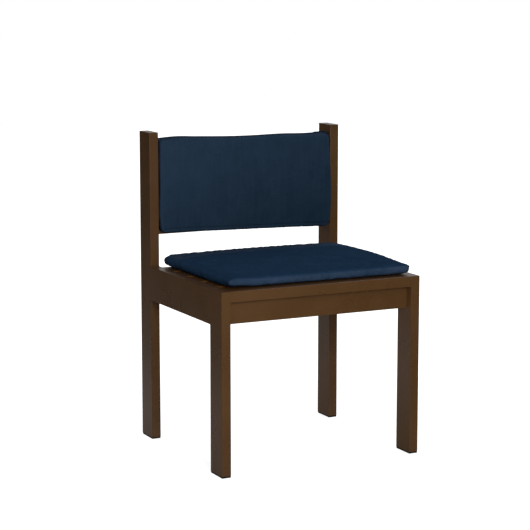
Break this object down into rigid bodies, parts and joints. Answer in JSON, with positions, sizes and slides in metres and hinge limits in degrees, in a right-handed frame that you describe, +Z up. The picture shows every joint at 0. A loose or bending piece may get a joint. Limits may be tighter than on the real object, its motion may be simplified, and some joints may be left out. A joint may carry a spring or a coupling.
{
  "type": "outdoor side chair",
  "caption": "Armless outdoor side chair: welded flat-tube frame in bronze, slatted seat and back, loose navy seat pad and a slip-over back pad.",
  "frame": {"origin": "on the ground, under the middle of the chair's footprint", "axes": "+Z up, -Y the way the chair faces, +X to the right of someone who looks at its front"},
  "size_m": [0.52, 0.468, 0.76],
  "materials": {
    "frame_coating": "satin bronze-brown powder coat",
    "glide_nylon": "moulded black nylon, matt",
    "pad_cloth": "plain navy woven outdoor cloth",
    "pad_foam": "open-cell foam, hidden"
  },
  "bodies": {
    "frame": {"front_leg_left": "frame_coating", "front_leg_right": "frame_coating", "rear_post_left": "frame_coating", "rear_post_right": "frame_coating", "front_leg_cap_left": "frame_coating", "front_leg_cap_right": "frame_coating", "rear_post_cap_left": "frame_coating", "rear_post_cap_right": "frame_coating", "side_rail_left": "frame_coating", "side_rail_right": "frame_coating", "front_apron": "frame_coating", "rear_apron": "frame_coating", "seat_slat_1": "frame_coating", "seat_slat_2": "frame_coating", "seat_slat_3": "frame_coating", "seat_slat_4": "frame_coating", "seat_slat_5": "frame_coating", "back_slat_top": "frame_coating", "back_slat_middle": "frame_coating", "back_slat_bottom": "frame_coating", "foot_glide_front_left": "glide_nylon", "foot_glide_front_right": "glide_nylon", "foot_glide_rear_left": "glide_nylon", "foot_glide_rear_right": "glide_nylon"},
    "seat_pad": {"seat_pad_cover": "pad_cloth", "seat_pad_foam": "pad_foam"},
    "back_pad": {"back_pad_cover": "pad_cloth", "back_pad_foam": "pad_foam", "back_pad_hood": "pad_cloth"}
  },
  "joints": [
    {"name": "seat_pad_lift", "type": "slide", "parent": "frame", "child": "seat_pad", "axis": [0, -0.2588, 0.9659], "range_m": [0, 0.36]},
    {"name": "back_pad_lift", "type": "slide", "parent": "frame", "child": "back_pad", "axis": [0, 0, 1], "range_m": [0, 0.27]}
  ]
}
